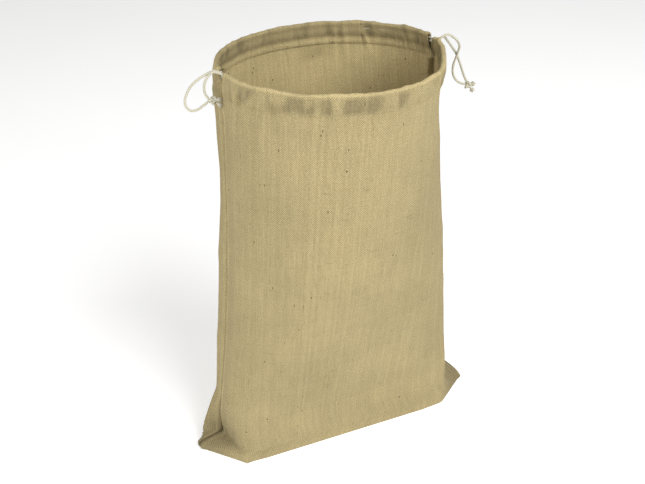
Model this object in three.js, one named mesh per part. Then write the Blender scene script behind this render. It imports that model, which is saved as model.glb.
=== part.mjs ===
// Sack race bag: an empty jute sack that stands open, with a drawcord channel round its mouth.
// Millimetres, +Z up. The origin is on the floor under the middle of the sack, +X runs across the
// width to the right, and the front of the sack faces -Y.
import * as THREE from 'three';
import { mergeVertices } from 'three/addons/utils/BufferGeometryUtils.js';

// ---- driving dimensions ----------------------------------------------------------------------
const SACK_HEIGHT = 849;        // floor to rim, at the middle of the mouth
const RIM_TILT = 6.5;           // the left end of the rim stands this much higher, the right lower
const MOUTH_HALF_WIDTH = 213;
const MOUTH_HALF_DEPTH = 165;
const LEFT_SEAM_TURN = 3;       // degrees that the left slit has moved round the rim, to the front
const RIGHT_SEAM_TURN = 14;     // degrees that the right slit has moved round the rim, to the back
const RIM_DENT = 22;            // the front right of the rim is pushed in by this much
const DENT_ANGLE = -20;         // where round the rim the dent is deepest, in degrees
const DENT_SPREAD = 30;
const DENT_FOOT = 300;          // the dent fades out at this height

const WAIST_HALF_WIDTH = 263;   // half width across the seams, just above the corners
const WAIST_HEIGHT = 110;       // above this the sack swells towards the round mouth
const SWELL = 2.3;              // how early it does so
const BASE_CORNER_X = 232;      // where the front and back of the base turn towards the ears
const BASE_HALF_DEPTH = 78;
const BASE_ROUNDING = 26;
const EAR_LENGTH = 54;          // how far the bottom corners stick out past the waist
const EAR_ROUND = 12;           // height up to which an ear has its full length
const EAR_HEIGHT = 40;

const CLOTH = 1.2;              // thickness of the jute
const GAP = 0.3;                // between pieces that touch
const SEAM_TOP = 795;           // the side seams stop here, and the slits begin
const SLIT_HALF_WIDTH = 8.5;    // of a slit, at the rim
const HEM_DEPTH = 42;           // of the turned-in cloth that makes the channel
const CHANNEL = 6.6;            // room for the cords between the wall and the turned-in cloth
const STITCH_DROP = 38;         // of the hem's stitching, below the rim
const SEAM_RIB = 12;            // width of the raw edges that stand inside each seam
const RIB_STANDOFF = 2.4;
const SIDE_RIB_FOOT = 60;
const SIDE_RIB_TOP = 792;
const BASE_RIB_HALF_LENGTH = 225;
const THREAD = 1.2;             // diameter of the sewing thread
const THREAD_GAP = 0.5;
const HEM_THREAD_INSET = 3;      // from a slit to the first stitch of the hem

const CORD = 4;                 // diameter of the drawcords
const LEFT_CORD_DROP = 7;       // of each cord's centre, below the rim
const RIGHT_CORD_DROP = 13;
const CORD_ENTRY = 10;          // channel between a slit and the start of a cord's free stretch
const KNOT_RADIUS = 7;
const KNOT_TURNS = 3;           // grooves round a knot, and how deep and how twisted they are
const KNOT_GROOVE = 0.06;
const KNOT_TWIST = 3;

// ---- fineness of the surfaces ----------------------------------------------------------------
const COLUMNS = 26;             // facets across a panel
const WALL_HEIGHTS = [0, 6, 12, 20, 28, 40, 65, 110, 170, 240, 320, 410, 500, 590, 680, 750,
  SEAM_TOP, 818, 834];
const FLOOR_SHARES = [0, 0.5];  // rows of the base between its middle seam and its outline
const FOLD_ANGLES = [0, 36, 72, 108, 144, 180];
const FLAP_DROPS = [14, 22, 30];
const OUTLINE_STEPS = 96;
const CORD_SIDES = 8;
const CORD_STEP = 8;            // length of a free cord's facets
const RUN_STEP = 16;            // length of a channelled cord's facets
const THREAD_SIDES = 6;
const KNOT_DETAIL = 3;
const SAME_PLACE = 1e-3;        // points nearer than this are one
const HEM_THREAD_STEP = 22;
const SEAM_THREAD_STEP = 30;

// ---- materials -------------------------------------------------------------------------------
const jute = new THREE.MeshStandardMaterial({ color: 0xbfae82, roughness: 0.95, metalness: 0 });
const rawJute = new THREE.MeshStandardMaterial({ color: 0xa8966a, roughness: 1, metalness: 0 });
const thread = new THREE.MeshStandardMaterial({ color: 0x9c8a5f, roughness: 0.9, metalness: 0 });
const cotton = new THREE.MeshStandardMaterial({ color: 0xd8d2ba, roughness: 0.9, metalness: 0 });

const FRONT = -1;
const BACK = 1;
const LEFT = -1;
const RIGHT = 1;
const smooth = THREE.MathUtils.smoothstep;
const radians = THREE.MathUtils.degToRad;
const sack = new THREE.Group();

function addPiece(name, geometry, material) {
  const mesh = new THREE.Mesh(geometry, material);
  mesh.name = name;
  sack.add(mesh);
}

// ---- the shape of the open sack --------------------------------------------------------------
// Half of the outline near the floor, from ear to ear: a box with a pointed corner at each end.
function baseOutline(height, side) {
  const ear = EAR_LENGTH * (1 - smooth(height, EAR_ROUND, EAR_HEIGHT));
  const reach = WAIST_HALF_WIDTH + ear;
  const overhang = reach - BASE_CORNER_X;
  const depth = side * BASE_HALF_DEPTH;
  const round = BASE_ROUNDING / Math.hypot(overhang, BASE_HALF_DEPTH);
  const path = new THREE.Path();
  path.moveTo(-reach, 0);
  path.lineTo(-BASE_CORNER_X - overhang * round, depth * (1 - round));
  path.quadraticCurveTo(-BASE_CORNER_X, depth, -BASE_CORNER_X + BASE_ROUNDING, depth);
  path.lineTo(BASE_CORNER_X - BASE_ROUNDING, depth);
  path.quadraticCurveTo(BASE_CORNER_X, depth,
    BASE_CORNER_X + overhang * round, depth * (1 - round));
  path.lineTo(reach, 0);
  return path;
}

// Half of the outline near the mouth, from slit to slit: an oval pushed in at the front right.
function mouthOutline(height, side) {
  const turn = (height / SACK_HEIGHT) ** 2;
  const from = 180 + LEFT_SEAM_TURN * turn;
  const to = (side === FRONT ? 360 : 0) + RIGHT_SEAM_TURN * turn;
  const dent = RIM_DENT * smooth(height, DENT_FOOT, SACK_HEIGHT);
  const points = [];
  for (let step = 0; step <= OUTLINE_STEPS; step += 1) {
    const angle = from + (to - from) * step / OUTLINE_STEPS;
    const away = THREE.MathUtils.euclideanModulo(angle - DENT_ANGLE + 180, 360) - 180;
    const push = dent * Math.exp(-((away / DENT_SPREAD) ** 2));
    points.push(new THREE.Vector2(
      (MOUTH_HALF_WIDTH - push) * Math.cos(radians(angle)),
      (MOUTH_HALF_DEPTH - push) * Math.sin(radians(angle))));
  }
  return new THREE.SplineCurve(points);
}

// A slit is closed at its foot and springs open towards the rim.
function slitHalfWidth(height) {
  const share = (height - SEAM_TOP) / (SACK_HEIGHT - SEAM_TOP);
  return SLIT_HALF_WIDTH * Math.sqrt(Math.max(0, share));
}

// The outline of one panel at a height, at even fractions from its left edge to its right edge.
// The panels stop short of each other: by a hair at the seams, and by half a slit above them.
function panelRow(height, side, count = COLUMNS, entry = 0) {
  const low = baseOutline(height, side);
  const high = mouthOutline(height, side);
  const climb = (height - WAIST_HEIGHT) / (SACK_HEIGHT - WAIST_HEIGHT);
  const swell = 1 - (1 - THREE.MathUtils.clamp(climb, 0, 1)) ** SWELL;
  const start = (GAP + slitHalfWidth(height) + entry) / high.getLength();
  const row = [];
  for (let column = 0; column <= count; column += 1) {
    const fraction = start + (1 - 2 * start) * column / count;
    row.push(low.getPointAt(fraction).lerp(high.getPointAt(fraction), swell));
  }
  return row;
}

// The direction into the sack, square to the outline, at each point of a row.
function inwardNormals(row, side) {
  return row.map((point, index) => {
    const before = row[Math.max(index - 1, 0)];
    const after = row[Math.min(index + 1, row.length - 1)];
    const along = after.clone().sub(before).normalize();
    return new THREE.Vector2(side * along.y, -side * along.x);
  });
}

// The direction into the sack at a seam, halfway between its two panels.
function seamInward(height, end) {
  const pick = end === LEFT ? 0 : -1;
  const total = new THREE.Vector2();
  for (const side of [FRONT, BACK]) total.add(inwardNormals(panelRow(height, side), side).at(pick));
  return total.normalize();
}

// A row moved into the sack. Its two ends move in the plane of their seam, so panels still meet.
function insetRow(row, side, height, depth) {
  const normals = inwardNormals(row, side);
  const moved = row.map((point, index) => point.clone().addScaledVector(normals[index], depth));
  for (const [index, end] of [[0, LEFT], [row.length - 1, RIGHT]]) {
    const inward = seamInward(height, end);
    const reach = depth / inward.dot(normals[index]);
    moved[index] = row[index].clone().addScaledVector(inward, reach);
  }
  return moved;
}

// The rim is not level: what is high up rises towards the left and drops towards the right.
function standing(x, y, height) {
  const tilt = RIM_TILT * (x / MOUTH_HALF_WIDTH) * (height / SACK_HEIGHT) ** 2;
  return new THREE.Vector3(x, y, height - tilt);
}

function wallRow(side, height, depth, count = COLUMNS, entry = 0) {
  const row = panelRow(height, side, count, entry);
  const placed = depth === 0 ? row : insetRow(row, side, height, depth);
  return placed.map((point) => standing(point.x, point.y, height));
}

// ---- making closed solids --------------------------------------------------------------------
// A closed body between two grids of points that have the same rows and columns.
function slab(outer, inner, flip) {
  const rows = outer.length;
  const columns = outer[0].length;
  const half = rows * columns;
  const points = [...outer.flat(), ...inner.flat()];
  const faces = [];
  const quad = (a, b, c, d) => faces.push([a, b, c], [a, c, d]);
  const at = (row, column) => row * columns + column;
  for (let r = 0; r < rows - 1; r += 1) {
    for (let c = 0; c < columns - 1; c += 1) {
      quad(at(r, c), at(r, c + 1), at(r + 1, c + 1), at(r + 1, c));
      quad(half + at(r, c), half + at(r + 1, c), half + at(r + 1, c + 1), half + at(r, c + 1));
    }
    quad(at(r, 0), at(r + 1, 0), half + at(r + 1, 0), half + at(r, 0));
    const last = columns - 1;
    quad(at(r, last), half + at(r, last), half + at(r + 1, last), at(r + 1, last));
  }
  for (let c = 0; c < columns - 1; c += 1) {
    quad(at(0, c), half + at(0, c), half + at(0, c + 1), at(0, c + 1));
    const top = rows - 1;
    quad(at(top, c), at(top, c + 1), half + at(top, c + 1), half + at(top, c));
  }
  if (flip) faces.forEach((face) => face.reverse());
  return weld(points, faces);
}

// One vertex for each place, and no face that has lost a corner.
function weld(points, faces) {
  const loose = new THREE.BufferGeometry().setFromPoints(points);
  loose.setIndex(faces.flat());
  const welded = mergeVertices(loose, SAME_PLACE);
  const index = welded.getIndex().array;
  const kept = [];
  for (let i = 0; i < index.length; i += 3) {
    const [a, b, c] = [index[i], index[i + 1], index[i + 2]];
    if (a !== b && b !== c && c !== a) kept.push(a, b, c);
  }
  welded.setIndex(kept);
  return welded;
}

// A round tube along a smooth route.
function tube(route, diameter, sides, stepLength) {
  const path = new THREE.CatmullRomCurve3(route);
  const section = new THREE.Shape();
  for (let side = 0; side < sides; side += 1) {
    const angle = 2 * Math.PI * side / sides;
    const corner = [Math.cos(angle) * diameter / 2, Math.sin(angle) * diameter / 2];
    if (side === 0) section.moveTo(...corner);
    else section.lineTo(...corner);
  }
  section.closePath();
  const steps = Math.max(2, Math.round(path.getLength() / stepLength));
  return new THREE.ExtrudeGeometry(section, { extrudePath: path, steps, bevelEnabled: false });
}

const cordTube = (route, step = CORD_STEP) => tube(route, CORD, CORD_SIDES, step);
const threadTube = (route, step) => tube(route, THREAD, THREAD_SIDES, step);

// ---- the two panels --------------------------------------------------------------------------
// Half of the base: rows that shrink from the outline to the seam under the middle of the sack.
function floorRow(row, share, height) {
  const edge = row[0].y;
  return row.map((point) => new THREE.Vector3(point.x, edge + (point.y - edge) * share, height));
}

// Base, wall, fold at the rim, and the cloth turned in behind the channel.
function panel(side) {
  const outer = [];
  const inner = [];
  const outline = panelRow(0, side);
  const insideOutline = insetRow(outline, side, 0, CLOTH);
  for (const share of FLOOR_SHARES) {
    outer.push(floorRow(outline, share, 0));
    inner.push(floorRow(insideOutline, share, CLOTH));
  }
  for (const height of WALL_HEIGHTS) {
    outer.push(wallRow(side, height, 0));
    inner.push(wallRow(side, Math.max(height, CLOTH), CLOTH));
  }
  const middle = CLOTH + CHANNEL / 2;
  for (const angle of FOLD_ANGLES) {
    const [across, up] = [Math.cos(radians(angle)), Math.sin(radians(angle))];
    const centre = SACK_HEIGHT - middle;
    outer.push(wallRow(side, centre + middle * up, middle - middle * across));
    inner.push(wallRow(side, centre + CHANNEL / 2 * up, middle - CHANNEL / 2 * across));
  }
  for (const drop of FLAP_DROPS) {
    outer.push(wallRow(side, SACK_HEIGHT - drop, 2 * middle));
    inner.push(wallRow(side, SACK_HEIGHT - drop, 2 * middle - CLOTH));
  }
  outer.push(wallRow(side, SACK_HEIGHT - HEM_DEPTH, 2 * CLOTH + GAP));
  inner.push(wallRow(side, SACK_HEIGHT - HEM_DEPTH, CLOTH + GAP));
  return slab(outer, inner, side === BACK);
}

// ---- seams and stitching ---------------------------------------------------------------------
// A place at a side seam: so far into the sack, and so far across the seam towards the back.
function seamPoint(end, height, into, across) {
  const pick = end === LEFT ? 0 : -1;
  const front = panelRow(height, FRONT).at(pick);
  const seam = front.clone().add(panelRow(height, BACK).at(pick)).multiplyScalar(0.5);
  const inward = seamInward(height, end);
  const sideways = new THREE.Vector2(-inward.y, inward.x).multiplyScalar(-end);
  seam.addScaledVector(inward, into).addScaledVector(sideways, across);
  return standing(seam.x, seam.y, height);
}

const ribHeights = WALL_HEIGHTS.filter((height) => height > SIDE_RIB_FOOT && height < SEAM_TOP);
ribHeights.push(SIDE_RIB_TOP);

// The two raw edges of a side seam, sewn together, standing into the sack.
function sideRib(end) {
  const from = CLOTH + RIB_STANDOFF;
  const face = (across) => ribHeights.map((height) => [
    seamPoint(end, height, from, across), seamPoint(end, height, from + SEAM_RIB, across)]);
  return slab(face(-CLOTH), face(CLOTH), end === RIGHT);
}

function sideThread(end) {
  const into = CLOTH + RIB_STANDOFF + SEAM_RIB / 2;
  const across = -(CLOTH + THREAD_GAP + THREAD / 2);
  return threadTube(ribHeights.map((height) => seamPoint(end, height, into, across)),
    SEAM_THREAD_STEP);
}

function baseRib() {
  const rib = new THREE.BoxGeometry(2 * BASE_RIB_HALF_LENGTH, 2 * CLOTH, SEAM_RIB);
  return rib.translate(0, 0, CLOTH + GAP + SEAM_RIB / 2);
}

function baseThread() {
  const across = -(CLOTH + THREAD_GAP + THREAD / 2);
  const height = CLOTH + GAP + SEAM_RIB / 2;
  const reach = BASE_RIB_HALF_LENGTH - SEAM_RIB / 2;
  return threadTube([new THREE.Vector3(-reach, across, height),
    new THREE.Vector3(0, across, height), new THREE.Vector3(reach, across, height)], reach / 2);
}

function hemThread(side) {
  const outside = -(THREAD_GAP + THREAD / 2);
  const row = wallRow(side, SACK_HEIGHT - STITCH_DROP, outside, COLUMNS, HEM_THREAD_INSET);
  return threadTube(row, HEM_THREAD_STEP);
}

// ---- drawcords -------------------------------------------------------------------------------
// A cord's run through the front channel, across the far slit and back through the back channel.
function channelRun(home, drop) {
  const height = SACK_HEIGHT - drop;
  const depth = CLOTH + CHANNEL / 2;
  const entry = CORD_ENTRY - slitHalfWidth(height);
  const front = wallRow(FRONT, height, depth, COLUMNS, entry);
  const back = wallRow(BACK, height, depth, COLUMNS, entry).reverse();
  if (home === LEFT) return [...front, ...back];
  return [...front.reverse(), ...back.reverse()];
}

const runTube = (home, drop) => cordTube(channelRun(home, drop), RUN_STEP);

// The free stretches, from the mouth of the channel out through the slit and round to the knot.
const LEFT_KNOT = [-228.5, -7.5, 804.5];
const LEFT_FRONT_STRAND = [[-207.1, -18.1, 848.2], [-208.2, -14.6, 848.8], [-210.8, -12, 850.2],
  [-214.6, -11, 852.2], [-219, -10.8, 854.2], [-224, -10.8, 855.2], [-230, -10.5, 852],
  [-235.7, -10, 845.6], [-240.2, -9.5, 835.3], [-240.6, -9, 822], [-237.6, -8.5, 813.6],
  [-234.9, -8.1, 810]];
const LEFT_BACK_STRAND = [[-208.6, 1.4, 848.3], [-209.4, -1.9, 848.6], [-211.6, -4.2, 849.8],
  [-215.2, -5.3, 852.2], [-222.5, -5.2, 854.6], [-231.8, -5, 851.9], [-242.9, -4.5, 846.7],
  [-253.3, -4.5, 840.5], [-262.2, -4, 832.2], [-268.9, -4, 821.9], [-273.2, -4, 809.8],
  [-271.8, -5, 798], [-263.9, -5.5, 791], [-253.8, -6, 791.9], [-244.6, -6.6, 797.4],
  [-236.7, -7.1, 802.4]];
const LEFT_TAILS = [[[-222.3, -12.6, 802], [-219.6, -16, 800.2], [-218, -20, 798]],
  [[-222.6, -12.6, 807.6], [-219.6, -16, 809.2], [-217.8, -20, 809.4]]];
const RIGHT_KNOT = [284, 46, 728];
const RIGHT_FRONT_STRAND = [[197.3, 26.8, 830.2], [197.9, 30.6, 830.3], [200.2, 33.6, 830.9],
  [204.2, 34.9, 832.3], [210, 35.4, 835], [216, 35.8, 838.2], [221.2, 36, 840.2],
  [229.1, 37, 838.8], [238.6, 38.5, 832.8], [248.5, 40, 823.8], [254.9, 41, 812.9],
  [253.9, 42, 802], [250.2, 42.5, 788.6], [246.6, 43, 775.1], [247.5, 43.5, 758.8],
  [255.4, 44, 744.2], [266.2, 44.7, 735.6], [276.4, 45.3, 731.4]];
const RIGHT_BACK_STRAND = [[194.5, 46.3, 830.2], [195.9, 43, 830.2], [198.3, 41, 830.3],
  [202, 40.3, 830.4], [209, 40.8, 831.5], [216, 42, 833.8], [223.6, 43.2, 832.4],
  [231.6, 45, 823.4], [242.2, 47, 810.6], [253.9, 48.5, 794.6], [263.5, 49, 775.2],
  [271.7, 48.5, 755], [277.6, 47.7, 742], [280.8, 47.1, 735.9]];
const RIGHT_TAILS = [[[292.2, 47.6, 727.8], [295.2, 48.2, 728], [298.6, 48.6, 727.6]],
  [[289.8, 44.4, 722.2], [292.2, 43.7, 719.2], [294, 43.2, 715.8]]];

const route = (places) => places.map((place) => new THREE.Vector3(...place));

// An overhand knot pulled tight: a lump with three turns of cord round it.
function knotLump([x, y, z]) {
  const lump = new THREE.IcosahedronGeometry(KNOT_RADIUS, KNOT_DETAIL);
  const places = lump.getAttribute('position');
  for (let i = 0; i < places.count; i += 1) {
    const place = new THREE.Vector3().fromBufferAttribute(places, i);
    const turns = Math.cos(KNOT_TURNS * Math.atan2(place.y, place.x) + place.z / KNOT_TWIST);
    place.multiplyScalar(1 - KNOT_GROOVE * (1 - turns));
    places.setXYZ(i, place.x, place.y, place.z);
  }
  return lump.translate(x, y, z);
}

addPiece('front_panel', panel(FRONT), jute);
addPiece('back_panel', panel(BACK), jute);
addPiece('left_seam_rib', sideRib(LEFT), rawJute);
addPiece('right_seam_rib', sideRib(RIGHT), rawJute);
addPiece('base_seam_rib', baseRib(), rawJute);
addPiece('left_seam_stitching', sideThread(LEFT), thread);
addPiece('right_seam_stitching', sideThread(RIGHT), thread);
addPiece('base_seam_stitching', baseThread(), thread);
addPiece('front_hem_stitching', hemThread(FRONT), thread);
addPiece('back_hem_stitching', hemThread(BACK), thread);
addPiece('left_drawcord_in_hem', runTube(LEFT, LEFT_CORD_DROP), cotton);
addPiece('right_drawcord_in_hem', runTube(RIGHT, RIGHT_CORD_DROP), cotton);
const loops = [['left', LEFT_KNOT, LEFT_FRONT_STRAND, LEFT_BACK_STRAND, LEFT_TAILS],
  ['right', RIGHT_KNOT, RIGHT_FRONT_STRAND, RIGHT_BACK_STRAND, RIGHT_TAILS]];
for (const [end, knot, frontStrand, backStrand, tails] of loops) {
  addPiece(`${end}_front_strand`, cordTube(route(frontStrand)), cotton);
  addPiece(`${end}_back_strand`, cordTube(route(backStrand)), cotton);
  addPiece(`${end}_knot`, knotLump(knot), cotton);
  addPiece(`${end}_front_tail`, cordTube(route(tails[0]), CORD), cotton);
  addPiece(`${end}_back_tail`, cordTube(route(tails[1]), CORD), cotton);
}

export default sack;
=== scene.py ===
"""Sack race bag: the looks of the jute sack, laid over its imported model.

Metres, +Z up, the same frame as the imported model. Each piece of the sack has an operator that
makes it, and main() runs them in order.
"""
import math

import bpy
import numpy as np
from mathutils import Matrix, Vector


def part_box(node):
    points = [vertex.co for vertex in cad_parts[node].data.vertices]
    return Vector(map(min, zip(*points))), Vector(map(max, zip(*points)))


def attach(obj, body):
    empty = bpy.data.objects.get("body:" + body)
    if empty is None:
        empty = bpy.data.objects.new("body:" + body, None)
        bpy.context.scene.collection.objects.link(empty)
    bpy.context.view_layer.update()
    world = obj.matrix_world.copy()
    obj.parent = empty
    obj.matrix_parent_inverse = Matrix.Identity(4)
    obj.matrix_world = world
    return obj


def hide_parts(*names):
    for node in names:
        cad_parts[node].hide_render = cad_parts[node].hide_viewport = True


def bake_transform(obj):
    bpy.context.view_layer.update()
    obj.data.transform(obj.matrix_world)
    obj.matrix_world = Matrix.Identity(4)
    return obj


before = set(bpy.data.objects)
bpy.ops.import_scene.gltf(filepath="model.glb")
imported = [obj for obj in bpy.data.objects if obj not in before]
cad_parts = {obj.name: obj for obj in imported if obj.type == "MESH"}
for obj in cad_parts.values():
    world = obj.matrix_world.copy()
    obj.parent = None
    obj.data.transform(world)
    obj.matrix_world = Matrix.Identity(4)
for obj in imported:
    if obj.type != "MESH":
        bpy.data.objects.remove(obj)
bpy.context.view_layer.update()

bl_info = {
    "name": "Sack Race Bag",
    "version": (1, 0, 0),
    "blender": (4, 5, 0),
    "location": "View3D > Sidebar > Sack",
    "description": "Makes an open jute sack with a drawcord channel, cords, knots and stitching",
    "category": "Object",
}

# ---- the shape of the open sack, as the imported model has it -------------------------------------
SACK_HEIGHT = 0.849
RIM_TILT = 0.0065               # the left end of the rim stands this much higher
MOUTH_HALF_WIDTH = 0.213
MOUTH_HALF_DEPTH = 0.165
LEFT_SEAM_TURN = 3              # degrees that the slits have moved round the rim
RIGHT_SEAM_TURN = 14
RIM_DENT = 0.022                # the front right of the rim is pushed in by this much
DENT_ANGLE = -20
DENT_SPREAD = 30
DENT_FOOT = 0.300
WAIST_HALF_WIDTH = 0.2615
WAIST_HEIGHT = 0.110
SWELL = 2.3
# The corners of the base and the ends of its straight sides, in plan, all at the left. At the
# right they are mirrored.
FRONT_LEFT_CORNER = (-0.2310, -0.0830)
FRONT_LEFT_STRAIGHT = (-0.185, -0.0805)
CREASE_END = (-0.2622, -0.004)
BACK_LEFT_CORNER = (-0.2440, 0.0640)
OTHER_CORNER = {-1: (-0.2345, -0.0665), 1: (-0.2345, 0.0760)}
OTHER_STRAIGHT = {-1: (-0.185, -0.0712), 1: (-0.185, 0.0780)}
LEFT_EAR_LENGTH = 0.0555        # of the pointed corners, out past the waist
RIGHT_EAR_LENGTH = 0.0595
LEFT_RIDGE_LENGTH = 0.0555
LEFT_RIDGE_TOP = 0.132          # where the fold behind the left seam starts to run out to the tip
RIGHT_EAR_TOP = 0.072
CREASE_TOP = 0.062              # where the crease up from the front left corner meets the seam
FLOOR_ROUNDING = 0.006          # of the cloth where the wall turns under the sack
CLOTH_WIDTH = 0.610             # of a panel, flat
HEM_START = 0.918               # along the flat cloth, where it folds over at the mouth
GAP = 0.0003
SEAM_TOP = 0.795
SLIT_HALF_WIDTH = 0.0085
HEM_DEPTH = 0.042
STITCH_DROP = 0.038
CHANNEL = 0.0066
SEAM_RIB = 0.012
RIB_FROM = 0.0036               # how far into the sack the raw edges start
RIB_FOOT = 0.065
RIB_TOP = 0.806                 # just under the hem
BASE_RIB_HALF_LENGTH = 0.225
LEFT_CORD_DROP = 0.007
RIGHT_CORD_DROP = 0.013
CORD_ENTRY = 0.010

CAMERA_PLACE = (-0.51845, -1.27477, 1.40888)
CAMERA_AIM = (0.29371, 0.76950, -0.56710)
CAMERA_LENS = 47.657            # millimetres, on a sensor 36 mm wide
KEY_PLACE, KEY_WIDTH = (1.15, -2.2, 3.0), 2.6
FILL_PLACE, FILL_WIDTH = (-2.4, -1.2, 1.6), 2.2

FRONT, BACK = -1, 1
LEFT, RIGHT = -1, 1

# ---- the free cords, from the mouth of the channel to the knot ----------------------------------
LEFT_FRONT_STRAND = [
    (-.2071, -.0181, .8482), (-.2082, -.0146, .8488), (-.2108, -.012, .8502),
    (-.2146, -.011, .8522), (-.219, -.0108, .8542), (-.224, -.0108, .8552), (-.23, -.0105, .852),
    (-.2357, -.01, .8456), (-.2402, -.0095, .8353), (-.2406, -.009, .822), (-.2376, -.0085, .8136),
    (-.2349, -.0081, .81)]
LEFT_BACK_STRAND = [
    (-.2086, .0014, .8483), (-.2094, -.0019, .8486), (-.2116, -.0042, .8498),
    (-.2152, -.0053, .8522), (-.2225, -.0052, .8546), (-.2318, -.005, .8519),
    (-.2429, -.0045, .8467), (-.2533, -.0045, .8405), (-.2622, -.004, .8322),
    (-.2689, -.004, .8219), (-.2732, -.004, .8098), (-.2718, -.005, .798), (-.2639, -.0055, .791),
    (-.2538, -.006, .7919), (-.2446, -.0066, .7974), (-.2367, -.0071, .8024)]
LEFT_TAILS = [
    [(-.2223, -.0126, .802), (-.2196, -.016, .8002), (-.218, -.02, .798)],
    [(-.2226, -.0126, .8076), (-.2196, -.016, .8092), (-.2178, -.02, .8094)]]
RIGHT_FRONT_STRAND = [
    (.1973, .0268, .8302), (.1979, .0306, .8303), (.2002, .0336, .8309), (.2042, .0349, .8323),
    (.21, .0354, .835), (.216, .0358, .8382), (.2212, .036, .8402), (.2291, .037, .8388),
    (.2386, .0385, .8328), (.2485, .04, .8238), (.2549, .041, .8129), (.2539, .042, .802),
    (.2502, .0425, .7886), (.2466, .043, .7751), (.2475, .0435, .7588), (.2554, .044, .7442),
    (.2662, .0447, .7356), (.2764, .0453, .7314)]
RIGHT_BACK_STRAND = [
    (.1945, .0463, .8302), (.1959, .043, .8302), (.1983, .041, .8303), (.202, .0403, .8304),
    (.209, .0408, .8315), (.216, .042, .8338), (.2236, .0432, .8324), (.2316, .045, .8234),
    (.2422, .047, .8106), (.2539, .0485, .7946), (.2635, .049, .7752), (.2717, .0485, .755),
    (.2776, .0477, .742), (.2808, .0471, .7359)]
RIGHT_TAILS = [
    [(.2922, .0476, .7278), (.2952, .0482, .728), (.2986, .0486, .7276)],
    [(.2898, .0444, .7222), (.2922, .0437, .7192), (.294, .0432, .7158)]]


# ---- settings -----------------------------------------------------------------------------------
def length_property(name, description, default):
    return bpy.props.FloatProperty(
        name=name, description=description, default=default, min=0, precision=4,
        subtype="DISTANCE", unit="LENGTH")


def colour_property(name, description, default):
    return bpy.props.FloatVectorProperty(
        name=name, description=description, default=default, min=0, max=1, size=3,
        subtype="COLOR")


class SackClothSettings(bpy.types.PropertyGroup):
    """The jute of the two panels"""
    thickness: length_property("Thickness", "Thickness of the jute", 0.0012)
    pitch: length_property("Thread pitch", "From one thread of the weave to the next", 0.0020)
    gather: length_property("Gather depth", "Depth of the tucks along the hem", 0.0036)
    fold: length_property("Fold depth", "Depth of the long soft folds in the walls", 0.0046)
    light: colour_property("Light thread", "The palest threads", (0.452, 0.374, 0.197))
    dark: colour_property("Dark thread", "The darkest threads", (0.273, 0.216, 0.104))
    fleck: colour_property("Fleck", "Bits of bark in the jute", (0.078, 0.050, 0.022))


class SackCordSettings(bpy.types.PropertyGroup):
    """The cotton drawcords"""
    diameter: length_property("Diameter", "Diameter of the drawcords", 0.004)
    lay: length_property("Lay", "Length of one full twist of the cord", 0.014)
    light: colour_property("Cotton", "Colour of the cord", (0.570, 0.544, 0.428))
    # dark is painted shade in the grooves between the strands.
    dark: colour_property("Cotton in the grooves", "Colour between the strands",
                          (0.430, 0.400, 0.300))


class SackStitchSettings(bpy.types.PropertyGroup):
    """The sewing thread"""
    length: length_property("Stitch", "Length of one stitch", 0.0075)
    diameter: length_property("Thread", "Diameter of the thread", 0.0012)
    colour: colour_property("Thread colour", "Colour of the thread", (0.370, 0.297, 0.155))


class SackStageSettings(bpy.types.PropertyGroup):
    """Floor, lights and camera"""
    floor: colour_property("Floor", "Colour of the floor", (0.97, 0.97, 0.97))
    key: bpy.props.FloatProperty(name="Key light", description="Power of the large light",
                                 default=126, min=0, subtype="POWER", unit="POWER")
    fill: bpy.props.FloatProperty(name="Fill light", description="Power of the second light",
                                  default=42, min=0, subtype="POWER", unit="POWER")
    sky: bpy.props.FloatProperty(name="Room light", description="Light from all round",
                                 default=0.30, min=0, max=5, subtype="FACTOR")


# ---- small helpers ------------------------------------------------------------------------------
def smooth(value, low, high):
    share = np.clip((value - low) / (high - low), 0, 1)
    return share * share * (3 - 2 * share)


def blob(value, width):
    """1 at zero, falling away to nothing within about two widths."""
    return np.exp(-(value / width) ** 2)


NOISE_SIZE = 64                 # the noise repeats after this many steps


def soft_noise(x, y, seed):
    """Smooth random heights from -1 to 1, with one random value at each whole x and y."""
    table = np.random.default_rng(seed).uniform(-1, 1, (NOISE_SIZE, NOISE_SIZE))
    left, low = np.floor(x).astype(int), np.floor(y).astype(int)
    right, up = smooth(x - left, 0, 1), smooth(y - low, 0, 1)

    def corner(across, rise):
        return table[(left + across) % NOISE_SIZE, (low + rise) % NOISE_SIZE]
    bottom = corner(0, 0) * (1 - right) + corner(1, 0) * right
    top = corner(0, 1) * (1 - right) + corner(1, 1) * right
    return bottom * (1 - up) + top * up


def unit(vectors):
    return vectors / np.linalg.norm(vectors, axis=-1, keepdims=True)


def distances(points):
    """How far along a line each of its points is."""
    steps = np.linalg.norm(np.diff(points, axis=0), axis=1)
    return np.concatenate([[0], np.cumsum(steps)])


def at_distances(points, wanted):
    along = distances(points)
    return np.stack([np.interp(wanted, along, points[:, k]) for k in range(points.shape[1])], 1)


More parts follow.
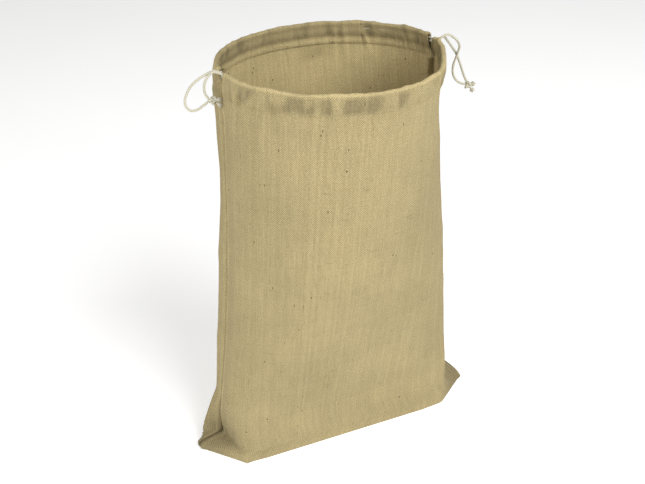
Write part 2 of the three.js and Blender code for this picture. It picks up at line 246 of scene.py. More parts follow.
def smooth_line(places, step):
    """A curve through the places, as points a step apart."""
    places = np.array(places, float)
    ends = np.vstack([2 * places[0] - places[1], places, 2 * places[-1] - places[-2]])

    def between(first, second, start, end, t):
        return (end - t) / (end - start) * first + (t - start) / (end - start) * second
    dense = []
    for a, b, c, d in zip(ends[:-3], ends[1:-2], ends[2:-1], ends[3:]):
        gaps = [np.linalg.norm(q - p) ** 0.5 for p, q in ((a, b), (b, c), (c, d))]
        k = np.cumsum([0] + gaps)
        t = np.linspace(k[1], k[2], 12, endpoint=False)[:, None]
        middle = between(b, c, k[1], k[2], t)
        first = between(between(a, b, k[0], k[1], t), middle, k[0], k[2], t)
        second = between(middle, between(c, d, k[2], k[3], t), k[1], k[3], t)
        dense.append(between(first, second, k[1], k[2], t))
    dense = np.vstack(dense + [places[-1:]])
    total = distances(dense)[-1]
    return at_distances(dense, np.linspace(0, total, max(2, round(total / step)) + 1))


def deselect_all():
    if bpy.context.object and bpy.context.object.mode != "OBJECT":
        bpy.ops.object.mode_set(mode="OBJECT")
    bpy.ops.object.select_all(action="DESELECT")


def only(piece):
    deselect_all()
    piece.select_set(True)
    bpy.context.view_layer.objects.active = piece
    return piece


def added(name):
    """The object that the last operator added, with its proper name."""
    piece = bpy.context.active_object
    piece.name = piece.data.name = name
    return piece


def apply_modifier(piece, kind, **settings):
    only(piece)
    modifier = piece.modifiers.new(kind.title(), kind)
    for key, value in settings.items():
        setattr(modifier, key, value)
    bpy.ops.object.modifier_apply(modifier=modifier.name)


def in_edit_mode(piece, *steps):
    """Runs edit-mode operators on the whole of a piece."""
    only(piece)
    bpy.ops.object.mode_set(mode="EDIT")
    bpy.ops.mesh.select_all(action="SELECT")
    for step in steps:
        step()
    bpy.ops.object.mode_set(mode="OBJECT")


def points_of(piece):
    points = np.zeros(len(piece.data.vertices) * 3)
    piece.data.vertices.foreach_get("co", points)
    return points.reshape(-1, 3)


def set_points(piece, points):
    piece.data.vertices.foreach_set("co", np.ascontiguousarray(points, float).ravel())
    piece.data.update()


def set_uv(piece, by_vertex):
    """Lays the piece's UV map out from one pair of numbers for each vertex."""
    corners = np.zeros(len(piece.data.loops), int)
    piece.data.loops.foreach_get("vertex_index", corners)
    layer = piece.data.uv_layers[0] if piece.data.uv_layers else piece.data.uv_layers.new()
    layer.name = "Cloth"
    layer.data.foreach_set("uv", by_vertex[corners].ravel())


def cloth_grid(name, surface, flat):
    """A sheet from a table of points, with its UV map in metres of flat cloth."""
    rows, columns = surface.shape[0] - 1, surface.shape[1] - 1
    deselect_all()
    bpy.ops.mesh.primitive_grid_add(x_subdivisions=columns, y_subdivisions=rows, size=1)
    piece = added(name)
    start = points_of(piece)
    column = np.rint((start[:, 0] + 0.5) * columns).astype(int)
    row = np.rint((start[:, 1] + 0.5) * rows).astype(int)
    set_points(piece, surface[row, column])
    set_uv(piece, flat[row, column])
    return piece


def frames_along(line):
    """A direction square to a line at each of its points, turning as little as it can."""
    tangent = unit(np.gradient(line, axis=0))
    side = np.cross(tangent[0], (0, 0, 1) if abs(tangent[0][2]) < 0.9 else (1, 0, 0))
    sides = []
    for direction in tangent:
        side = side - direction * (side @ direction)
        side = side / np.linalg.norm(side)
        sides.append(side)
    sides = np.array(sides)
    return sides, np.cross(tangent, sides)


def rope(name, line, diameter, lay, sides=12, closed=False, taper=None):
    """A twisted cord of three strands along a line."""
    first, second = frames_along(line)
    along = distances(line)
    turn = along / lay
    if closed:
        turn = along / along[-1] * round(along[-1] / lay)
    angle = np.linspace(0, 2 * math.pi, sides + 1)
    strand = 0.88 + 0.15 * np.abs(np.cos(1.5 * angle)) ** 0.7
    around = angle[None] + 2 * math.pi * turn[:, None]
    radius = diameter / 2 * strand[None] * (np.ones(len(line)) if taper is None else taper)[:, None]
    surface = line[:, None] + radius[..., None] * (
        np.cos(around)[..., None] * first[:, None] + np.sin(around)[..., None] * second[:, None])
    flat = np.stack(np.broadcast_arrays(angle[None] / (2 * math.pi), along[:, None]), 2)
    piece = cloth_grid(name, surface, flat)
    steps = [lambda: bpy.ops.mesh.remove_doubles(threshold=1e-6)]
    if not closed:
        steps.append(lambda: bpy.ops.mesh.fill_holes(sides=0))
    steps.append(lambda: bpy.ops.mesh.normals_make_consistent(inside=False))
    in_edit_mode(piece, *steps)
    bpy.ops.object.shade_smooth()
    return piece


def copies_in_a_row(piece, count):
    """Makes count copies of a piece in one mesh, and gives each vertex the number of its copy."""
    size = len(piece.data.vertices)
    apply_modifier(piece, "ARRAY", count=count, use_relative_offset=False,
                   use_constant_offset=True, constant_offset_displace=(0, 0, 0))
    return np.arange(size * count) // size


def join(name, pieces):
    deselect_all()
    for piece in pieces:
        piece.select_set(True)
    bpy.context.view_layer.objects.active = pieces[0]
    bpy.ops.object.join()
    return added(name)


def finish_piece(piece, material, nodes, body="sack"):
    """Paints a piece, puts it in the place of its nodes and lets it ride with a body."""
    if material:
        piece.data.materials.clear()
        piece.data.materials.append(material)
    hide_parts(*nodes)
    if body:
        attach(piece, body)


# ---- the outline of the sack at a height --------------------------------------------------------
def curve(first, control, last):
    """A bend from the first place to the last, drawn towards the control place."""
    t = np.linspace(0, 1, 30)[:, None]
    first, control, last = np.array(first), np.array(control), np.array(last)
    return (1 - t) ** 2 * first + 2 * t * (1 - t) * control + t ** 2 * last


def end_of_base(height, side, end):
    """From a side seam to where the front or back of the base runs straight, seam to the left."""
    if end == LEFT:
        reach = LEFT_EAR_LENGTH * (1 - smooth(height, 0.013, 0.038))
    else:
        reach = RIGHT_EAR_LENGTH * (1 - min(height / RIGHT_EAR_TOP, 1) ** 1.3)
    seam = (-WAIST_HALF_WIDTH - reach, 0)
    if end == LEFT and side == FRONT:
        climb = min(height / CREASE_TOP, 1)
        corner = np.array(FRONT_LEFT_CORNER) * (1 - climb) + np.array(CREASE_END) * climb
        control = (-0.2260 * (1 - climb) - 0.2550 * climb, -0.0785)
        return np.vstack([seam, curve(corner, control, FRONT_LEFT_STRAIGHT)])
    corner = np.array(OTHER_CORNER[side])
    last = np.array(OTHER_STRAIGHT[side])
    before = [seam]
    if end == LEFT:
        folded = np.array(BACK_LEFT_CORNER)
        corner = folded + (corner - folded) * (1 - min(height / 0.05, 1))
        ridge = LEFT_RIDGE_LENGTH * (1 - min(height / LEFT_RIDGE_TOP, 1))
        bulge = max(0, WAIST_HALF_WIDTH + ridge + seam[0])
        before.append((seam[0] - bulge, 0.004 + 0.018 * float(smooth(height, 0.01, 0.05))))
    ease = 0.008 + 0.034 * float(smooth(height, 0.10, 0.40))
    near = corner + unit(np.array(before[-1]) - corner) * ease
    return np.vstack([*before, curve(near, corner, corner + unit(last - corner) * ease), last])


def base_outline(height, side):
    """Near the floor: a long box whose ends run out to pointed corners, creased up to the seam."""
    left = end_of_base(height, side, LEFT)
    right = end_of_base(height, side, RIGHT)
    return np.vstack([left, right[::-1] * (-1, 1)])


def mouth_outline(height, side):
    """Near the mouth: an oval from slit to slit, pushed in at the front right."""
    turn = (height / SACK_HEIGHT) ** 2
    first = 180 + LEFT_SEAM_TURN * turn
    last = (360 if side == FRONT else 0) + RIGHT_SEAM_TURN * turn
    angle = np.linspace(first, last, 161)
    away = (angle - DENT_ANGLE + 180) % 360 - 180
    push = RIM_DENT * smooth(height, DENT_FOOT, SACK_HEIGHT) * blob(away, DENT_SPREAD)
    return np.stack([(MOUTH_HALF_WIDTH - push) * np.cos(np.radians(angle)),
                     (MOUTH_HALF_DEPTH - push) * np.sin(np.radians(angle))], 1)


# How much fuller, or flatter, the sack is than the oval: heights, and how far it stands out there.
BACK_LEFT = ((0, .09, .155, .20, .244, .355, .474, .51, .583, .649, .714, .752, .798, .826, .849),
             (0, .003, .006, .008, .011, .0115, .0115, .010, .006, .005, .0065, .0065, .009, .005,
              .003))
FRONT_RIGHT = ((0, .30, .45, .52, .60, .67, .71, .74, .77, .80, .82, .849),
               (0, 0, 0, -.002, -.0035, -.004, -.006, -.008, -.009, -.008, -.004, -.001))


def fullness(side, across, height):
    """How far a panel stands out past its plain outline, by pressing out from inside."""
    place = across * CLOTH_WIDTH
    if side == BACK:
        return np.interp(height, *BACK_LEFT) * smooth(place, 0.0, 0.030) * (
            1 - smooth(place, 0.055, 0.170))
    away = CLOTH_WIDTH - place
    return np.interp(height, *FRONT_RIGHT) * smooth(away, 0.0, 0.060) * (
        1 - smooth(away, 0.130, 0.290))


def slit_half_width(height):
    """The slits at the ends of the mouth are open at the top and close up towards the seam."""
    return SLIT_HALF_WIDTH * np.clip((height - SEAM_TOP) / (SACK_HEIGHT - SEAM_TOP), 0, 1) ** 1.15


def panel_row(height, side, across, entry=0):
    """Plan points of a panel's outline at a height, at fractions from its left to its right."""
    low, high = base_outline(height, side), mouth_outline(height, side)
    climb = np.clip((height - WAIST_HEIGHT) / (SACK_HEIGHT - WAIST_HEIGHT), 0, 1)
    swell = 1 - (1 - climb) ** SWELL
    start = (GAP + slit_half_width(height) + entry) / distances(high)[-1]
    fraction = start + (1 - 2 * start) * across
    low = at_distances(low, fraction * distances(low)[-1])
    high = at_distances(high, fraction * distances(high)[-1])
    return low + (high - low) * swell


def inward_normals(row, side):
    along = unit(np.gradient(row, axis=0))
    return np.stack([side * along[:, 1], -side * along[:, 0]], 1)


EVEN = np.linspace(0, 1, 121)


def seam_inward(height, end):
    pick = 0 if end == LEFT else -1
    total = sum(inward_normals(panel_row(height, side, EVEN), side)[pick] for side in (FRONT, BACK))
    return total / np.linalg.norm(total)


def sunk_row(height, side, across, depth, entry=0):
    """A row moved into the sack by a depth for each of its points. Its ends stay in their seams."""
    row = panel_row(height, side, across, entry)
    normals = inward_normals(row, side)
    width = distances(row)[-1]
    for end, away in ((LEFT, across), (RIGHT, 1 - across)):
        near = 1 - smooth(away * width, 0, 0.014)[:, None]
        inward = seam_inward(height, end)
        facing = np.maximum(normals @ inward, 0.5)[:, None]
        normals = normals * (1 - near) + inward / facing * near
    return row + normals * (depth - fullness(side, across, height))[:, None]


def standing(plan, height):
    """Plan points set at a height, on the sack whose rim is not quite level."""
    height = np.broadcast_to(height, plan.shape[:1])
    tilt = RIM_TILT * (plan[:, 0] / MOUTH_HALF_WIDTH) * (height / SACK_HEIGHT) ** 2
    return np.column_stack([plan, height - tilt])


# ---- what the cloth does on its own -------------------------------------------------------------
def make_tucks(seed):
    """Places and sizes of the tucks along one panel's hem: some deep, most shallow."""
    random = np.random.default_rng(seed)
    places = np.cumsum(random.uniform(0.011, 0.031, 32))
    return [(place, random.choice((0.35, 0.6, 1.0, 1.25)), random.uniform(0.0030, 0.0055),
             random.uniform(0.03, 0.12), random.uniform(-0.18, 0.18)) for place in places]


TUCKS = {FRONT: make_tucks(4), BACK: make_tucks(11)}
TUCK_BELOW = 0.45               # of a tuck's depth is left just below the stitching


def tuck_relief(side, across, drop):
    """Tucks gathered by the drawcord: pits above the stitching that run out into long ripples."""
    place = across * CLOTH_WIDTH
    relief = np.zeros_like(place)
    past = max(0, drop - STITCH_DROP)
    for centre, size, width, length, lean in TUCKS[side]:
        away = place - centre - lean * (drop - STITCH_DROP)
        spread = width * (1 + 1.1 * past / 0.06)
        strength = size * float(smooth(drop, 0.001, 0.026)) * (
            0.22 + 0.78 * float(smooth(drop, 0.006, 0.030)))
        strength *= 1 - float(smooth(drop, STITCH_DROP, STITCH_DROP + length))
        strength *= TUCK_BELOW / (TUCK_BELOW + (1 - TUCK_BELOW) * float(smooth(past, 0, 0.006)))
        relief += strength * (0.32 * blob(np.abs(away) - 2.0 * spread, spread) - blob(away, spread))
    return relief


CRUMPLE = 0.00045
RIM_WAVER = 0.0007
HEM_BULGE = 0.0017
STITCH_PULL = 0.0012


def wall_relief(side, across, height):
    """How far a panel stands out from its plain shape."""
    cloth = bpy.context.scene.sack_cloth
    place = across * CLOTH_WIDTH
    drop = SACK_HEIGHT - height
    seed = 20 if side == FRONT else 30
    edge = np.minimum(place, CLOTH_WIDTH - place)
    folds = soft_noise(place / 0.105 + 0.25 * np.sin(height * 9), height / 0.42, seed)
    folds += 0.45 * soft_noise(place / 0.045, height / 0.20, seed + 1)
    crumple = soft_noise(place / 0.028, height / 0.034, seed + 2)
    crumple += 0.5 * soft_noise(place / 0.013, height / 0.016, seed + 3)
    near_floor = float(smooth(height, 0.01, 0.09))
    below_hem = float(smooth(drop, 0.03, 0.16))
    # long folds, which fade at the seams, at the floor and at the hem
    relief = cloth.fold * folds * near_floor * (0.25 + 0.75 * below_hem) * smooth(edge, 0.02, 0.11)
    relief += CRUMPLE * crumple * (0.3 + 0.7 * near_floor)
    relief += cloth.gather * tuck_relief(side, across, drop)
    waver = soft_noise(place / 0.011, 0.5, seed + 5)
    relief += RIM_WAVER * waver * float(1 - smooth(drop, 0.0, 0.05))
    # the hem stands out over its cords and is drawn in at its stitching
    relief += HEM_BULGE * float(smooth(drop, 0.001, 0.014) * (1 - smooth(drop, 0.020, STITCH_DROP)))
    relief -= STITCH_PULL * float(blob(drop - STITCH_DROP, 0.0035))
    return relief


def seam_relief(across, height):
    """At the side seams the cloth makes a low puckered ridge, then turns in to the stitching."""
    relief = np.zeros_like(across)
    for end, away in ((LEFT, across), (RIGHT, 1 - across)):
        away = away * CLOTH_WIDTH
        pucker = soft_noise(height / 0.017, 3.5, 40 + end)
        relief += (0.0017 + 0.0008 * pucker) * blob(away - 0.0085, 0.0048)
        relief -= 0.0038 * (1 - np.clip(away / 0.0065, 0, 1)) ** 2
    return relief


def crease_relief(across, height):
    """Creases that run from the bottom corners into the walls."""
    relief = np.zeros_like(across)
    for end, away in ((LEFT, across), (RIGHT, 1 - across)):
        away = away * CLOTH_WIDTH
        for start, lean, size, top in ((0.060, 0.55, 0.0022, 0.16), (0.105, 0.95, 0.0016, 0.13),
                                       (0.030, 0.28, 0.0018, 0.11)):
            line = away - start - lean * height * (1 + 0.2 * end)
            fade = float(smooth(height, 0.008, 0.04) * (1 - smooth(height, top * 0.4, top)))
            relief += size * fade * (0.6 * blob(line - 0.010, 0.008) - blob(line, 0.006))
    return relief


def back_relief(across, height):
    """Its left edge turns in beside the slit, and a broad hollow slants up the inside."""
    place = across * CLOTH_WIDTH
    beside = float(smooth(height, 0.755, 0.795) * (1 - smooth(height, 0.822, 0.837)))
    relief = -0.0060 * beside * (1 - smooth(place, 0.002, 0.012))
    rising = float(smooth(height, 0.50, 0.68) * (1 - smooth(height, 0.77, 0.81)))
    return relief + 0.0065 * rising * blob(place - 0.325 - 0.35 * (height - 0.72), 0.036)


def column_fractions(count):
    """Fractions across a panel, closer together at its two seams."""
    even = np.linspace(0, 1, count + 1)
    return even - SEAM_CROWDING * np.sin(2 * math.pi * even) / (2 * math.pi)


COLUMNS = 156                   # across each panel
SEAM_CROWDING = 0.46            # 0 spaces the columns evenly, 1 lets them meet at the seams


def cloth_row(side, across, height, depth, extra_depth=0.0, ruffle=1.0):
    """Points of the middle of the cloth, at a height and a depth in from the outside."""
    relief = wall_relief(side, across, height)
    edge = np.minimum(across, 1 - across) * CLOTH_WIDTH
    relief = relief * smooth(edge, 0.001, 0.022) * ruffle
    relief = relief + seam_relief(across, height) + crease_relief(across, height)
    if side == BACK:
        relief = relief + back_relief(across, height)
    return standing(sunk_row(height, side, across, depth + extra_depth - relief), height)


# ---- the two panels -----------------------------------------------------------------------------
def rim_waver(side, across):
    """How the top edge rises and dips between its gathers."""
    place = across * CLOTH_WIDTH
    seed = 60 if side == FRONT else 65
    return 0.0017 * soft_noise(place / 0.0095, 0.5, seed) + 0.0021 * soft_noise(
        place / 0.034, 0.5, seed + 1)


def panel_rows(side, across, thickness):
    """Rows of points from the seam under the sack, up the wall, over the rim and down inside."""
    half = thickness / 2
    # out from the base seam, then round the edge of the base
    rows = []
    under = cloth_row(side, across, 0.0, half, FLOOR_ROUNDING)
    for share in np.linspace(0, 1, 15)[:-1]:
        row = under.copy()
        row[:, 1] = side * (GAP + half) + (row[:, 1] - side * (GAP + half)) * share
        lift = 0.0007 * soft_noise(across * 14, share * 4, 50 + side)
        row[:, 2] = half + np.abs(lift) * smooth(share, 0.1, 0.4)
        rows.append(row)
    for angle in np.radians((0, 18, 36, 54, 72)):
        sink = FLOOR_ROUNDING * (1 - math.sin(angle))
        height = FLOOR_ROUNDING * (1 - math.cos(angle))
        row = cloth_row(side, across, height, half, sink)
        row[:, 2] = np.maximum(row[:, 2], half)
        rows.append(row)
    # up the wall to where the cloth starts to turn over at the rim
    fold_centre = SACK_HEIGHT - half - CHANNEL / 2 - half
    wall = np.concatenate([np.linspace(FLOOR_ROUNDING, 0.12, 26)[:-1],
                           np.linspace(0.12, 0.72, 108)[:-1],
                           np.linspace(0.72, fold_centre, 42)[:-1]])
    for height in wall:
        rows.append(cloth_row(side, across, height, half))
    bend = CHANNEL / 2 + half
    rise = rim_waver(side, across)
    for angle in np.linspace(0, math.pi, 10):
        row = cloth_row(side, across, fold_centre, half + bend - bend * math.cos(angle))
        row[:, 2] += bend * math.sin(angle) + rise * math.sin(angle)
        rows.append(row)
    # down inside, closing on the wall at the stitching
    inside = half + 2 * bend
    closed = half + thickness + GAP
    for drop in np.linspace(SACK_HEIGHT - fold_centre, HEM_DEPTH + 0.001, 15)[1:]:
        pinch = smooth(drop, 0.017, STITCH_DROP)
        flare = 0.0007 * smooth(drop, STITCH_DROP, HEM_DEPTH) * (
            1 + 0.5 * soft_noise(across * 40, 0.5, 58 + side))
        depth = inside + (closed - inside) * pinch + flare
        rows.append(cloth_row(side, across, SACK_HEIGHT - drop, depth))
    return np.array(rows)


def make_panel(name, side):
    thickness = bpy.context.scene.sack_cloth.thickness
    across = column_fractions(COLUMNS)
    surface = panel_rows(side, across, thickness)
    plain = surface[:, ::4]
    climb = np.concatenate([[0], np.cumsum(
        np.linalg.norm(np.diff(plain, axis=0), axis=2).mean(axis=1))])
    flat = np.stack(np.broadcast_arrays((across * CLOTH_WIDTH)[None], climb[:, None]), 2)
    piece = cloth_grid(name, surface, flat)
    if side == FRONT:
        in_edit_mode(piece, lambda: bpy.ops.mesh.flip_normals())
    # The inside faces get a lighter copy of the jute: painted light that stands in for light coming
    # through the cloth.
    piece.data.materials.append(jute_material("Jute inside", 1.45, painted_hem_shade=-0.04))
    piece.data.materials.append(jute_material("Jute"))
    apply_modifier(piece, "SOLIDIFY", thickness=thickness, offset=0, material_offset=1)
    only(piece)
    bpy.ops.object.shade_smooth_by_angle(angle=math.radians(50))
    return piece


# ---- materials ----------------------------------------------------------------------------------
class Wiring:
    """Adds nodes to a tree and joins them up."""

    def __init__(self, tree):
        self.tree = tree
        tree.nodes.clear()

    def add(self, kind, inputs=(), **settings):
        node = self.tree.nodes.new(kind)
        for key, value in settings.items():
            setattr(node, key, value)
        for key, value in dict(inputs).items():
            if isinstance(value, bpy.types.NodeSocket):
                self.tree.links.new(value, node.inputs[key])
            else:
                node.inputs[key].default_value = value
        return node

    def group(self, tree, vector, **values):
        """Places a node group on a vector, with its own values."""
        node = self.add("ShaderNodeGroup", node_tree=tree)
        self.tree.links.new(vector, node.inputs["Vector"])
        for key, value in values.items():
            node.inputs[key].default_value = value
        return node.outputs

    def math(self, operation, *values, clamp=False):
        node = self.add("ShaderNodeMath", dict(enumerate(values)), operation=operation,
                        use_clamp=clamp)
        return node.outputs[0]

    def plus(self, *values):
        return self.math("ADD", *values)

    def minus(self, *values, clamp=False):
        return self.math("SUBTRACT", *values, clamp=clamp)

    def times(self, *values):
        return self.math("MULTIPLY", *values)

    def noise(self, vector, scale, detail=2.0, roughness=0.5):
        node = self.add("ShaderNodeTexNoise", {"Vector": vector, "Scale": scale,
                                               "Detail": detail, "Roughness": roughness})
        return node.outputs[0]

    def vector(self, x, y, z=0.0):
        return self.add("ShaderNodeCombineXYZ", {0: x, 1: y, 2: z}).outputs[0]

    def ramp(self, value, low, high):
        """0 below low and 1 above high, with soft ends."""
        node = self.add("ShaderNodeMapRange", {"Value": value, "From Min": low, "From Max": high},
                        interpolation_type="SMOOTHSTEP")
        return node.outputs[0]

    def shade(self, tone, mask, amount):
        """A tone made darker by an amount where the mask is 1, or lighter where it is negative."""
        return self.times(tone, self.minus(1.0, self.times(mask, amount)))

    def outside(self, value, low, high):
        """1 below low and 0 above high, with soft ends."""
        return self.minus(1.0, self.ramp(value, low, high))

    def mix(self, factor, first, second, blend="MIX"):
        node = self.add("ShaderNodeMix", data_type="RGBA", blend_type=blend)
        for socket, value in ((node.inputs[0], factor), (node.inputs[6], first),
                              (node.inputs[7], second)):
            if isinstance(value, bpy.types.NodeSocket):
                self.tree.links.new(value, socket)
            else:
                socket.default_value = value
        return node.outputs[2]

    def tinted(self, colour, tone):
        """A colour multiplied by a tone."""
        return self.mix(1.0, colour, self.vector(tone, tone, tone), "MULTIPLY")

    def surface(self, shader, colour, height, strength, depth):
        """Gives a shader its colour, and a bump that follows a height."""
        bump = self.add("ShaderNodeBump", {"Height": height, "Strength": strength,
                                           "Distance": depth})
        self.tree.links.new(colour, shader.inputs["Base Color"])
        self.tree.links.new(bump.outputs[0], shader.inputs["Normal"])


def new_group(name, inputs, outputs):
    """An empty node group with named inputs and outputs."""
    tree = bpy.data.node_groups.new(name, "ShaderNodeTree")
    wiring = Wiring(tree)
    for label, kind, default in inputs:
        socket = tree.interface.new_socket(name=label, in_out="INPUT", socket_type=kind)
        if default is not None:
            socket.default_value = default
    for label, kind in outputs:
        tree.interface.new_socket(name=label, in_out="OUTPUT", socket_type=kind)
    return wiring, wiring.add("NodeGroupInput").outputs, wiring.add("NodeGroupOutput").inputs


def join_output(wiring, outputs, label, socket):
    wiring.tree.links.new(socket, outputs[label])


def plain_weave_group():
    """Two sets of threads that pass over and under each other, each thread with its own tone."""
    name = "Plain weave"
    if name in bpy.data.node_groups:
        return bpy.data.node_groups[name]
    w, given, made = new_group(
        name,
        [("Vector", "NodeSocketVector", None), ("Pitch", "NodeSocketFloat", 0.0023),
         ("Wander", "NodeSocketFloat", 1.4), ("Looseness", "NodeSocketFloat", 0.5)],
        [("Height", "NodeSocketFloat"), ("Tone", "NodeSocketFloat"), ("Opening", "NodeSocketFloat"),
         ("Upright", "NodeSocketFloat")])
    place = w.add("ShaderNodeSeparateXYZ", {0: given["Vector"]}).outputs
    drift = w.times(w.minus(w.noise(given["Vector"], 9.0), 0.5), given["Wander"])
    shifted = w.add("ShaderNodeVectorMath", {0: given["Vector"], 1: (3.1, 7.7, 0)}, operation="ADD")
    drift_up = w.times(w.minus(w.noise(shifted.outputs[0], 7.0), 0.5), given["Wander"])
    x = w.plus(w.math("DIVIDE", place[0], given["Pitch"]), drift)
    y = w.plus(w.math("DIVIDE", place[1], given["Pitch"]), drift_up)
    threads = []
    for cell, other, sign in ((x, y, 1), (y, x, -1)):
        number = w.math("FLOOR", cell)
        middle = w.minus(w.minus(cell, number), 0.5)
        own = w.add("ShaderNodeTexWhiteNoise", {"W": w.plus(number, 17.0 + 40 * sign)},
                    noise_dimensions="1D").outputs[0]
        slub = w.noise(w.vector(w.times(number, 1.37), w.times(other, 0.045)), 1.0, 1.0)
        thick = w.plus(w.times(w.minus(slub, 0.5), 0.17), w.plus(w.times(own, 0.06), 0.45))
        share = w.math("DIVIDE", middle, thick)
        bow = w.minus(1.0, w.times(share, share), clamp=True)
        wave = w.math("SINE", w.times(w.plus(other, number), math.pi))
        lift = w.plus(0.62, w.times(wave, 0.38 * sign))
        tone = w.plus(w.times(own, 0.20), w.times(w.ramp(slub, 0.22, 0.78), 0.20))
        tone = w.plus(tone, 0.30)
        threads.append((w.times(bow, lift), tone))
    (up, up_tone), (level, level_tone) = threads
    height = w.math("MAXIMUM", up, level)
    on_top = w.math("GREATER_THAN", up, level)
    tone = w.plus(w.times(up_tone, on_top), w.times(level_tone, w.minus(1.0, on_top)))
    opening = w.times(w.minus(1.0, w.ramp(height, 0.02, 0.35)), given["Looseness"])
    join_output(w, made, "Height", height)
    join_output(w, made, "Tone", tone)
    join_output(w, made, "Opening", opening)
    join_output(w, made, "Upright", on_top)
    return w.tree


def flecks_group():
    """Small dark bits that lie in a cloth or a cord, a few in each handful."""
    name = "Flecks"
    if name in bpy.data.node_groups:
        return bpy.data.node_groups[name]
    w, given, made = new_group(
        name, [("Vector", "NodeSocketVector", None), ("Scale", "NodeSocketFloat", 130.0),
               ("Size", "NodeSocketFloat", 0.20), ("Amount", "NodeSocketFloat", 0.05)],
        [("Mask", "NodeSocketFloat")])
    turned = w.add("ShaderNodeMapping", {"Vector": given["Vector"], "Rotation": (0, 0, 0.5),
                                         "Scale": (1.0, 0.45, 1.0)}).outputs[0]
    cells = w.add("ShaderNodeTexVoronoi", {"Vector": turned, "Scale": given["Scale"]}).outputs
    chosen = w.math("LESS_THAN", w.add("ShaderNodeSeparateColor", {0: cells["Color"]}).outputs[0],
                    given["Amount"])
    near = w.minus(1.0, w.math("DIVIDE", cells["Distance"], given["Size"]), clamp=True)
    join_output(w, made, "Mask", w.times(chosen, w.ramp(near, 0.0, 0.7)))
    return w.tree


def mottling_group():
    """Uneven tone: broad patches, hand-sized clouds, and streaks along both sets of threads."""
    name = "Mottling"
    if name in bpy.data.node_groups:
        return bpy.data.node_groups[name]
    w, given, made = new_group(
        name, [("Vector", "NodeSocketVector", None), ("Patches", "NodeSocketFloat", 0.10),
               ("Streaks", "NodeSocketFloat", 0.10), ("Grain", "NodeSocketFloat", 0.10)],
        [("Tone", "NodeSocketFloat")])

    def swing(value, amount):
        return w.times(w.minus(value, 0.5), amount)
    place = w.add("ShaderNodeSeparateXYZ", {0: given["Vector"]}).outputs
    streaks = [w.noise(w.vector(w.times(place[0], across), w.times(place[1], up)), 1.0, 1.0)
               for across, up in ((260.0, 9.0), (11.0, 240.0))]
    total = w.plus(1.0, swing(w.noise(given["Vector"], 5.5, 4.0, 0.6), given["Patches"]))
    for streak in streaks:
        total = w.plus(total, swing(streak, given["Streaks"]))
    total = w.plus(total, swing(w.noise(given["Vector"], 330.0, 2.0, 0.7), given["Grain"]))
    join_output(w, made, "Tone", total)
    return w.tree


def start_material(name, **constants):
    """A new material with a Principled shader whose plain numbers are set on its sockets."""
    material = bpy.data.materials.new(name)
    material.use_nodes = True
    w = Wiring(material.node_tree)
    shader = w.add("ShaderNodeBsdfPrincipled")
    for key, value in constants.items():
        shader.inputs[key.replace("_", " ")].default_value = value
    w.add("ShaderNodeOutputMaterial", {"Surface": shader.outputs[0]})
    return material, w, shader


def opaque(colour):
    return (*colour, 1.0)


def shade_slubs(w, place, tone):
    """Here and there a thicker, darker thread, along and across the cloth."""
    for turn, seed in ((0, 4.0), (1, 9.0)):
        long_way, cross_way = place[1 - turn], place[turn]
        threads = w.noise(w.vector(w.times(cross_way, 420.0),
                                   w.times(long_way, 30.0), seed), 1.0, 1.0)
        spots = w.ramp(w.noise(w.vector(place[0], place[1], seed), 9.0, 1.0), 0.45, 0.60)
        tone = w.shade(tone, w.times(w.ramp(threads, 0.64, 0.76), spots), 0.30)
    return tone


def shade_corners(w, flat, place, aside, tone):
    """Painted shade: the cloth of the two bottom corners, which lies on the ground, is darkened in
    blotches.
    """
    painted_shade_blotches = w.plus(0.55, w.times(w.noise(flat, 24.0, 2.0), 0.8))
    corner = w.times(w.ramp(aside, 0.215, 0.275), w.outside(place[1], 0.100, 0.200))
    # Painted shade at the bottom corners, in blotches.
    return w.shade(tone, w.times(corner, painted_shade_blotches), 0.36)


def shade_seams(w, aside, tone):
    """Painted shade in the valley beside a seam, and a painted highlight on its ridge."""
    inset = w.minus(CLOTH_WIDTH / 2, aside)
    ridge = w.minus(w.ramp(inset, 0.0035, 0.0060), w.ramp(inset, 0.0085, 0.0125))
    # Painted shade in the valley at the seam.
    tone = w.shade(tone, w.outside(inset, 0.0012, 0.0042), 0.42)
    # Painted highlight on the ridge beside the seam.
    return w.shade(tone, ridge, -0.13)


def shade_hem(w, place, aside, tone):
    """Painted shade in the gathers of the hem, and painted highlights along its folded edges."""
    gathers = w.noise(w.vector(w.times(w.minus(place[0], 0.062), 36.0),
                               w.times(place[1], 14.0)), 1.0, 1.5, 0.45)
    edge = w.math("ABSOLUTE", w.minus(place[1], HEM_START))
    band = w.times(w.ramp(place[1], HEM_START - 0.040, HEM_START - 0.029),
                   w.outside(place[1], HEM_START + 0.026, HEM_START + 0.042))
    band = w.times(band, w.ramp(edge, 0.002, 0.013))
    # Painted shade in the gathers of the hem.
    gather_shade = w.times(band, w.ramp(gathers, 0.44, 0.66))
    tone = w.shade(tone, w.times(gather_shade, w.outside(aside, 0.268, 0.285)), 0.32)
    # Painted highlight along the fold at the rim.
    tone = w.shade(tone, w.outside(edge, 0.0025, 0.0065), -0.30)
    # Painted highlight on the raised free edge of the turned-in cloth.
    return w.shade(tone, w.ramp(place[1], HEM_START + 0.0365, HEM_START + 0.0395), -0.28)


